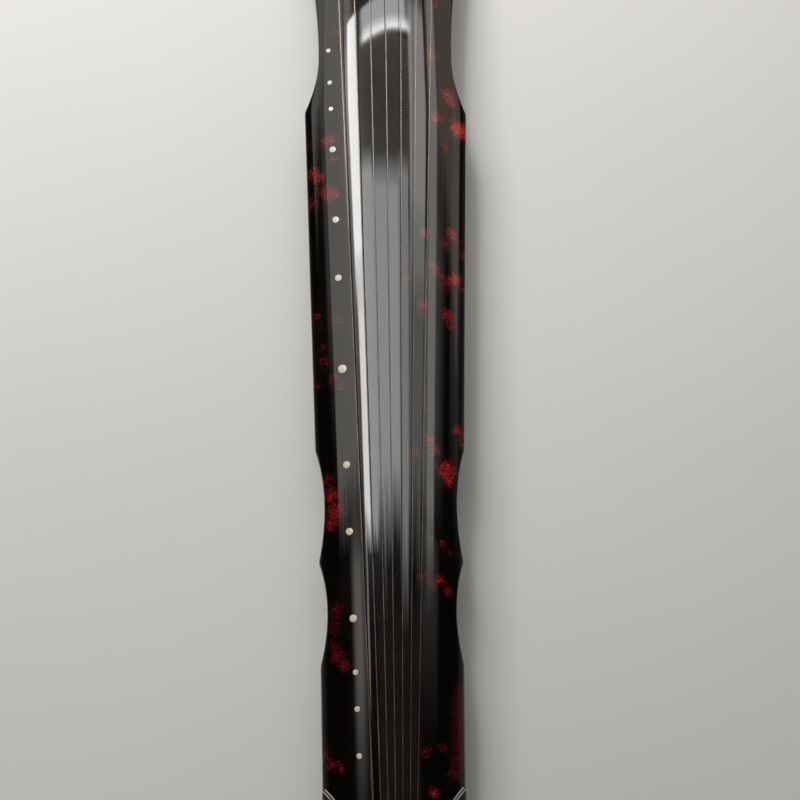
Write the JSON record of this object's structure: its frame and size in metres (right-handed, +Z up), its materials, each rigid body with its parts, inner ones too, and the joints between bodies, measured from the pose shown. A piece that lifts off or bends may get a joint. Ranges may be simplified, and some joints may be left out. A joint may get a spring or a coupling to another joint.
{
  "type": "guqin",
  "caption": "Seven-string plucked zither with a long arched lacquered body, neck and waist cut-ins, turning pegs and two feet below.",
  "frame": {"origin": "on the ground, at the middle of the outline", "axes": "+X to the head, +Y to the far side with the row of markers, +Z up"},
  "size_m": [1.235, 0.2008, 0.1092],
  "materials": {
    "lacquered_board": "high-gloss black-brown lacquer with cinnabar red speckle",
    "raw_wood": "unfinished softwood, inside the sound box",
    "dark_hardwood": "polished dark hardwood",
    "shell": "polished shell inlay",
    "string": "smooth wound string",
    "silk_cord": "twisted silk cord"
  },
  "bodies": {
    "root": {"top_board": "lacquered_board", "bottom_board": "lacquered_board", "heaven_post": "raw_wood", "earth_post": "raw_wood", "foot_block_far": "raw_wood", "foot_block_near": "raw_wood", "bridge": "dark_hardwood", "string_hole_strip": "dark_hardwood", "peg_plate": "dark_hardwood", "peg_guard_far": "dark_hardwood", "peg_guard_near": "dark_hardwood", "tail_nut": "dark_hardwood", "lower_tail_nut": "dark_hardwood", "tail_crown_far": "dark_hardwood", "tail_crown_near": "dark_hardwood", "dragon_pool_rim": "dark_hardwood", "phoenix_pond_rim": "dark_hardwood", "goose_foot_far": "dark_hardwood", "goose_foot_near": "dark_hardwood", "hui_marker_01": "shell", "hui_marker_02": "shell", "hui_marker_03": "shell", "hui_marker_04": "shell", "hui_marker_05": "shell", "hui_marker_06": "shell", "hui_marker_07": "shell", "hui_marker_08": "shell", "hui_marker_09": "shell", "hui_marker_10": "shell", "hui_marker_11": "shell", "hui_marker_12": "shell", "hui_marker_13": "shell", "string_1": "string", "string_2": "string", "string_3": "string", "string_4": "string", "string_5": "string", "string_6": "string", "string_7": "string", "tuning_cord_1": "silk_cord", "tuning_cord_2": "silk_cord", "tuning_cord_3": "silk_cord", "tuning_cord_4": "silk_cord", "tuning_cord_5": "silk_cord", "tuning_cord_6": "silk_cord", "tuning_cord_7": "silk_cord"},
    "peg_1": {"tuning_peg_1": "dark_hardwood", "peg_winding_1": "silk_cord"},
    "peg_2": {"tuning_peg_2": "dark_hardwood", "peg_winding_2": "silk_cord"},
    "peg_3": {"tuning_peg_3": "dark_hardwood", "peg_winding_3": "silk_cord"},
    "peg_4": {"tuning_peg_4": "dark_hardwood", "peg_winding_4": "silk_cord"},
    "peg_5": {"tuning_peg_5": "dark_hardwood", "peg_winding_5": "silk_cord"},
    "peg_6": {"tuning_peg_6": "dark_hardwood", "peg_winding_6": "silk_cord"},
    "peg_7": {"tuning_peg_7": "dark_hardwood", "peg_winding_7": "silk_cord"}
  },
  "joints": [
    {"name": "peg_1_turn", "type": "hinge", "parent": "root", "child": "peg_1", "pos_m": [0.552, 0.0612, 0.053], "axis": [0, 0, 1], "continuous": true},
    {"name": "peg_2_turn", "type": "hinge", "parent": "root", "child": "peg_2", "pos_m": [0.552, 0.0408, 0.053], "axis": [0, 0, 1], "continuous": true},
    {"name": "peg_3_turn", "type": "hinge", "parent": "root", "child": "peg_3", "pos_m": [0.552, 0.0204, 0.053], "axis": [0, 0, 1], "continuous": true},
    {"name": "peg_4_turn", "type": "hinge", "parent": "root", "child": "peg_4", "pos_m": [0.552, 0, 0.053], "axis": [0, 0, 1], "continuous": true},
    {"name": "peg_5_turn", "type": "hinge", "parent": "root", "child": "peg_5", "pos_m": [0.552, -0.0204, 0.053], "axis": [0, 0, 1], "continuous": true},
    {"name": "peg_6_turn", "type": "hinge", "parent": "root", "child": "peg_6", "pos_m": [0.552, -0.0408, 0.053], "axis": [0, 0, 1], "continuous": true},
    {"name": "peg_7_turn", "type": "hinge", "parent": "root", "child": "peg_7", "pos_m": [0.552, -0.0612, 0.053], "axis": [0, 0, 1], "continuous": true}
  ]
}
